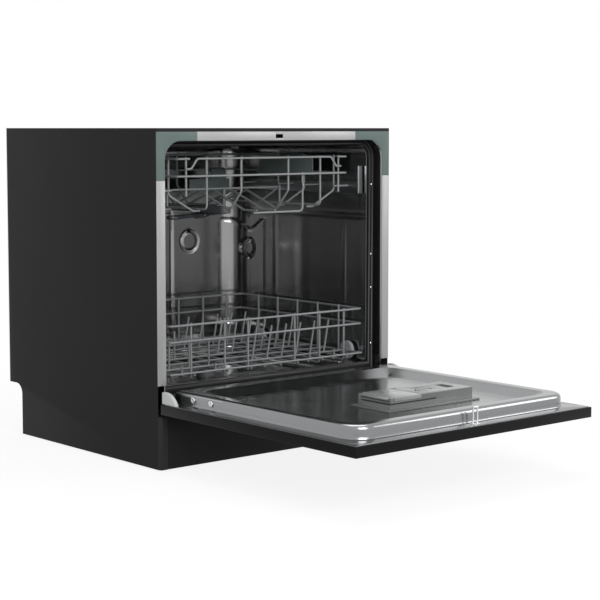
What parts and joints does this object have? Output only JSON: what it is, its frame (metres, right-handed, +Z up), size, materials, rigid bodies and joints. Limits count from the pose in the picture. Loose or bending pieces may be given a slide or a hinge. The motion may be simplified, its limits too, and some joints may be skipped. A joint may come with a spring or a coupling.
{
  "type": "countertop dishwasher",
  "caption": "Countertop dishwasher with a drop-down door, two pull-out wire racks, spray arms and a detergent dispenser, drawn with its door open.",
  "frame": {"origin": "middle of the footprint on the worktop with the door open", "axes": "+X to the machine's right as seen from the front, +Y to the back, +Z up; the door opens towards -Y"},
  "size_m": [0.55, 1.003, 0.595],
  "materials": {
    "dark_steel": "satin",
    "base_plastic": "matt",
    "corner_plastic": "satin",
    "frame_silver": "satin",
    "frame_corner": "satin",
    "tub_steel": "satin",
    "zinc_steel": "dull",
    "seal_rubber": "matt",
    "door_glass": "gloss",
    "liner_steel": "satin",
    "rack_wire": "satin",
    "wheel_plastic": "satin",
    "shelf_plastic": "satin",
    "arm_steel": "satin",
    "dark_plastic": "satin",
    "pump_black": "satin",
    "dispenser_grey": "satin",
    "lid_grey": "gloss",
    "cap_white": "satin",
    "board_green": "satin",
    "fascia_black": "gloss",
    "button_grey": "satin",
    "bright_steel": "bright"
  },
  "bodies": {
    "cabinet": {"base_pan": "base_plastic", "side_panel_left": "dark_steel", "side_panel_right": "dark_steel", "top_panel": "dark_steel", "back_panel": "zinc_steel", "rear_lower_panel": "zinc_steel", "plinth_panel": "base_plastic", "plinth_corner_posts": "corner_plastic", "levelling_feet": "seal_rubber", "tub_shell": "tub_steel", "tub_floor": "tub_steel", "front_trim_top": "frame_silver", "front_trim_corners": "frame_corner", "front_trim_sides": "frame_silver", "door_gasket": "seal_rubber", "door_lock": "dark_plastic", "hinge_brackets": "zinc_steel", "door_springs": "bright_steel", "roller_carriers": "dark_plastic", "spray_tower": "dark_plastic", "filter_plate": "arm_steel", "sump": "dark_plastic", "wash_pump": "pump_black", "drain_pump": "pump_black", "flow_heater": "tub_steel", "water_softener": "cap_white", "inlet_valve": "cap_white", "drain_spigot": "dark_plastic", "cord_gland": "seal_rubber", "feed_pipe": "dark_plastic"},
    "door": {"door_outer_panel": "door_glass", "door_liner": "liner_steel", "door_hinge_arms": "zinc_steel", "hinge_covers": "lid_grey", "door_screws": "bright_steel", "striker_loop": "bright_steel", "door_lower_seal": "seal_rubber", "dispenser_body": "dispenser_grey", "control_fascia": "fascia_black", "control_board": "board_green"},
    "latch": {"latch_hook": "bright_steel"},
    "rollers_front": {"rack_rollers_front": "wheel_plastic"},
    "rollers_rear": {"rack_rollers_rear": "wheel_plastic"},
    "filter": {"filter_cup": "dark_plastic"},
    "salt_lid": {"salt_cap": "cap_white"},
    "lower_arm": {"lower_spray_arm": "arm_steel"},
    "detergent_lid": {"dispenser_lid": "lid_grey"},
    "lid_catch": {"dispenser_latch": "pump_black"},
    "rinse_cap": {"rinse_aid_cap": "lid_grey"},
    "power_key": {"power_button": "button_grey"},
    "start_key": {"start_button": "button_grey"},
    "lower_rack": {"lower_rack_basket": "rack_wire"},
    "wheels_front": {"lower_wheels_front": "wheel_plastic"},
    "wheels_rear": {"lower_wheels_rear": "wheel_plastic"},
    "upper_rack": {"upper_rack_basket": "rack_wire", "upper_rack_rails": "bright_steel", "upper_spray_duct": "dark_plastic"},
    "shelf_right": {"cup_shelf_right": "shelf_plastic"},
    "shelf_rear": {"cup_shelf_rear": "shelf_plastic"},
    "upper_arm": {"upper_spray_arm": "arm_steel"}
  },
  "joints": [
    {"name": "door_swing", "type": "hinge", "parent": "cabinet", "child": "door", "pos_m": [0, -0.011, 0.1045], "axis": [-1, 0, 0], "range_deg": [0, 90]},
    {"name": "latch_swing", "type": "hinge", "parent": "cabinet", "child": "latch", "pos_m": [0, 0.0405, 0.584], "axis": [1, 0, 0], "range_deg": [0, 26]},
    {"name": "lower_rack_slide", "type": "slide", "parent": "cabinet", "child": "lower_rack", "axis": [0, 1, 0], "range_m": [-0.308, 0]},
    {"name": "upper_rack_slide", "type": "slide", "parent": "cabinet", "child": "upper_rack", "axis": [0, 1, 0], "range_m": [-0.27, 0]},
    {"name": "wheels_front_roll", "type": "hinge", "parent": "lower_rack", "child": "wheels_front", "pos_m": [0, 0.0795, 0.1608], "axis": [-1, 0, 0], "continuous": true},
    {"name": "wheels_rear_roll", "type": "hinge", "parent": "lower_rack", "child": "wheels_rear", "pos_m": [0, 0.3495, 0.1608], "axis": [-1, 0, 0], "continuous": true},
    {"name": "rollers_front_roll", "type": "hinge", "parent": "cabinet", "child": "rollers_front", "pos_m": [0, 0.0645, 0.48], "axis": [1, 0, 0], "continuous": true},
    {"name": "rollers_rear_roll", "type": "hinge", "parent": "cabinet", "child": "rollers_rear", "pos_m": [0, 0.1145, 0.48], "axis": [1, 0, 0], "continuous": true},
    {"name": "lower_arm_spin", "type": "hinge", "parent": "cabinet", "child": "lower_arm", "pos_m": [0, 0.2305, 0.135], "axis": [0, 0, 1], "continuous": true},
    {"name": "upper_arm_spin", "type": "hinge", "parent": "upper_rack", "child": "upper_arm", "pos_m": [0, 0.2465, 0.428], "axis": [0, 0, 1], "continuous": true},
    {"name": "filter_turn", "type": "hinge", "parent": "cabinet", "child": "filter", "pos_m": [0.078, 0.1545, 0.1], "axis": [0, 0, 1], "range_deg": [0, 45]},
    {"name": "salt_lid_turn", "type": "hinge", "parent": "cabinet", "child": "salt_lid", "pos_m": [-0.14, 0.3225, 0.12], "axis": [0, 0, 1], "range_deg": [0, 360]},
    {"name": "shelf_right_swing", "type": "hinge", "parent": "upper_rack", "child": "shelf_right", "pos_m": [0.201, 0.2045, 0.541], "axis": [0, 1, 0], "range_deg": [0, 85]},
    {"name": "shelf_rear_swing", "type": "hinge", "parent": "upper_rack", "child": "shelf_rear", "pos_m": [0.16, 0.3995, 0.51], "axis": [-1, 0, 0], "range_deg": [0, 85]},
    {"name": "detergent_lid_swing", "type": "hinge", "parent": "door", "child": "detergent_lid", "pos_m": [-0.061, -0.3185, 0.1475], "axis": [0, 1, 0], "range_deg": [-105, 0]},
    {"name": "lid_catch_slide", "type": "slide", "parent": "door", "child": "lid_catch", "axis": [1, 0, 0], "range_m": [0, 0.005]},
    {"name": "rinse_cap_turn", "type": "hinge", "parent": "door", "child": "rinse_cap", "pos_m": [0.045, -0.3185, 0.151], "axis": [0, 0, 1], "range_deg": [0, 90]},
    {"name": "power_press", "type": "slide", "parent": "door", "child": "power_key", "axis": [0, 0, 1], "range_m": [0, 0.0012], "stiffness_N_per_m": 400},
    {"name": "start_press", "type": "slide", "parent": "door", "child": "start_key", "axis": [0, 0, 1], "range_m": [0, 0.0012], "stiffness_N_per_m": 400}
  ],
  "couplings": [
    {"joint": "wheels_front_roll", "follows": "lower_rack_slide", "rad_per_m": 55.556},
    {"joint": "wheels_rear_roll", "follows": "lower_rack_slide", "rad_per_m": 55.556},
    {"joint": "rollers_front_roll", "follows": "upper_rack_slide", "rad_per_m": -114.94},
    {"joint": "rollers_rear_roll", "follows": "upper_rack_slide", "rad_per_m": -114.94}
  ]
}
